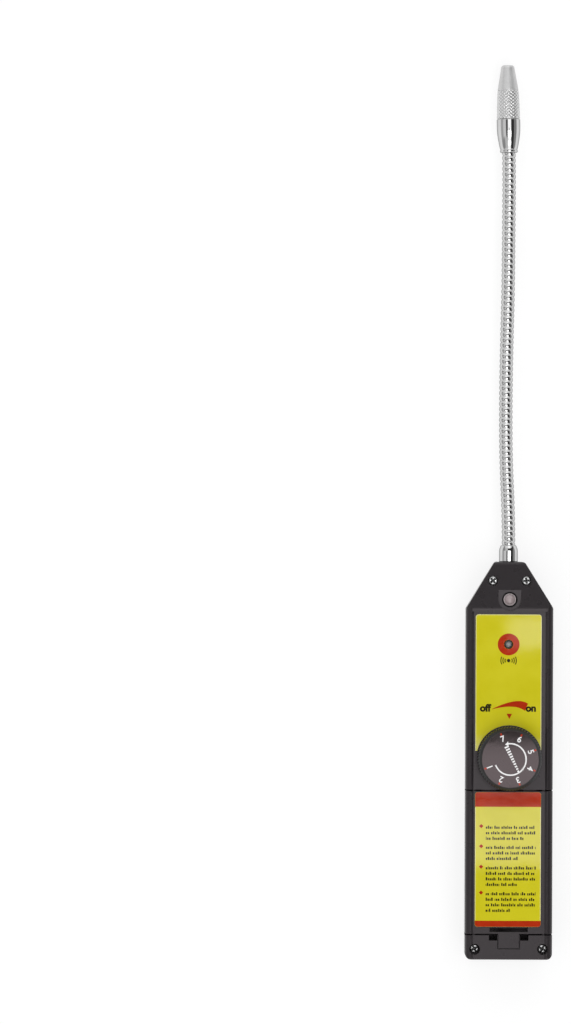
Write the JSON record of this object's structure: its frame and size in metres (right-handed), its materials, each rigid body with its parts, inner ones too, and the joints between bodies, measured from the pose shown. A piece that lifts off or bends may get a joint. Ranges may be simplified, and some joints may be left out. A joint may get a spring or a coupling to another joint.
{
  "type": "refrigerant leak detector",
  "caption": "Hand-held gas leak detector: slim battery housing with a sensitivity dial and lamp, and a bendable wound metal neck that carries a knurled sensor tip.",
  "frame": {"origin": "centre of the housing's flat back face, on which the detector lies", "axes": "+X across the housing to the right seen from the front, +Y along it towards the sensor tip, +Z out of the front face with the dial"},
  "size_m": [0.0384, 0.3951, 0.0344],
  "materials": {
    "housing_plastic": "fine moulded texture, satin",
    "knob_plastic": "ribbed, satin",
    "label_film": "glossy printed film",
    "dial_film": "glossy printed film",
    "neck_chrome": "polished",
    "tip_chrome": "polished, knurled band",
    "screw_steel": "bright zinc",
    "lamp_lens": "milky",
    "board_green": "solder mask",
    "component_black": "moulded",
    "coil_amber": "varnished winding",
    "capacitor_sleeve": "shrunk sleeve",
    "pot_metal": "pressed",
    "cell_sleeve": "printed film on a steel can",
    "contact_steel": "nickel plated",
    "nut_brass": "turned",
    "sensor_ceramic": "unglazed"
  },
  "bodies": {
    "housing": {"rear_housing": "housing_plastic", "front_cover": "housing_plastic", "housing_screws": "screw_steel", "control_label": "label_film", "status_led": "lamp_lens", "circuit_board": "board_green", "board_screws": "screw_steel", "buzzer": "component_black", "pot_case": "pot_metal", "control_chip": "component_black", "transformer": "coil_amber", "capacitors": "capacitor_sleeve", "battery_cell_left": "cell_sleeve", "battery_cell_right": "cell_sleeve", "positive_contact": "contact_steel", "negative_contact": "contact_steel", "bridge_contact": "contact_steel", "contact_springs": "contact_steel", "neck_ferrule": "tip_chrome", "neck_nut": "nut_brass", "neck_root": "neck_chrome"},
    "battery_door": {"battery_door": "housing_plastic", "instruction_label": "label_film"},
    "knob": {"sensitivity_knob": "knob_plastic", "dial_plate": "dial_film", "pot_shaft": "pot_metal"},
    "neck_1": {"neck_section_1": "neck_chrome"},
    "neck_2": {"neck_section_2": "neck_chrome"},
    "neck_3": {"neck_section_3": "neck_chrome"},
    "neck_4": {"neck_section_4": "neck_chrome"},
    "neck_5": {"neck_section_5": "neck_chrome"},
    "neck_6": {"neck_section_6": "neck_chrome"},
    "neck_7": {"neck_end": "neck_chrome", "tip_socket": "tip_chrome"},
    "tip": {"sensor_tip": "tip_chrome", "sensor_insulator": "sensor_ceramic", "sensor_needle": "contact_steel"}
  },
  "joints": [
    {"name": "knob_turn", "type": "hinge", "parent": "housing", "child": "knob", "pos_m": [0, 0.0012, 0.03], "axis": [0, 0, 1], "range_deg": [-20, 275]},
    {"name": "door_open", "type": "hinge", "parent": "housing", "child": "battery_door", "pos_m": [0, -0.013, 0.026], "axis": [-1, 0, 0], "range_deg": [0, 60]},
    {"name": "neck_bend_1", "type": "hinge", "parent": "housing", "child": "neck_1", "pos_m": [0, 0.10723, 0.0105], "axis": [0.9987, 0.0506, 0], "range_deg": [-35, 35]},
    {"name": "neck_bend_2", "type": "hinge", "parent": "neck_1", "child": "neck_2", "pos_m": [-0.00126, 0.13206, 0.0105], "axis": [0, 0, 1], "range_deg": [-35, 35]},
    {"name": "neck_bend_3", "type": "hinge", "parent": "neck_2", "child": "neck_3", "pos_m": [-0.00147, 0.15692, 0.0105], "axis": [0.9999, -0.0122, 0], "range_deg": [-35, 35]},
    {"name": "neck_bend_4", "type": "hinge", "parent": "neck_3", "child": "neck_4", "pos_m": [-0.00117, 0.18177, 0.0105], "axis": [0, 0, 1], "range_deg": [-35, 35]},
    {"name": "neck_bend_5", "type": "hinge", "parent": "neck_4", "child": "neck_5", "pos_m": [-0.00056, 0.20663, 0.0105], "axis": [1, -0.0052, 0], "range_deg": [-35, 35]},
    {"name": "neck_bend_6", "type": "hinge", "parent": "neck_5", "child": "neck_6", "pos_m": [-0.00043, 0.23149, 0.0105], "axis": [0, 0, 1], "range_deg": [-35, 35]},
    {"name": "neck_bend_7", "type": "hinge", "parent": "neck_6", "child": "neck_7", "pos_m": [-0.00026, 0.25635, 0.0105], "axis": [0.9998, 0.0175, 0], "range_deg": [-35, 35]},
    {"name": "tip_unscrew", "type": "hinge", "parent": "neck_7", "child": "tip", "pos_m": [-0.00048, 0.26877, 0.0105], "axis": [-0.0175, 0.9998, 0], "range_deg": [0, 720]}
  ]
}
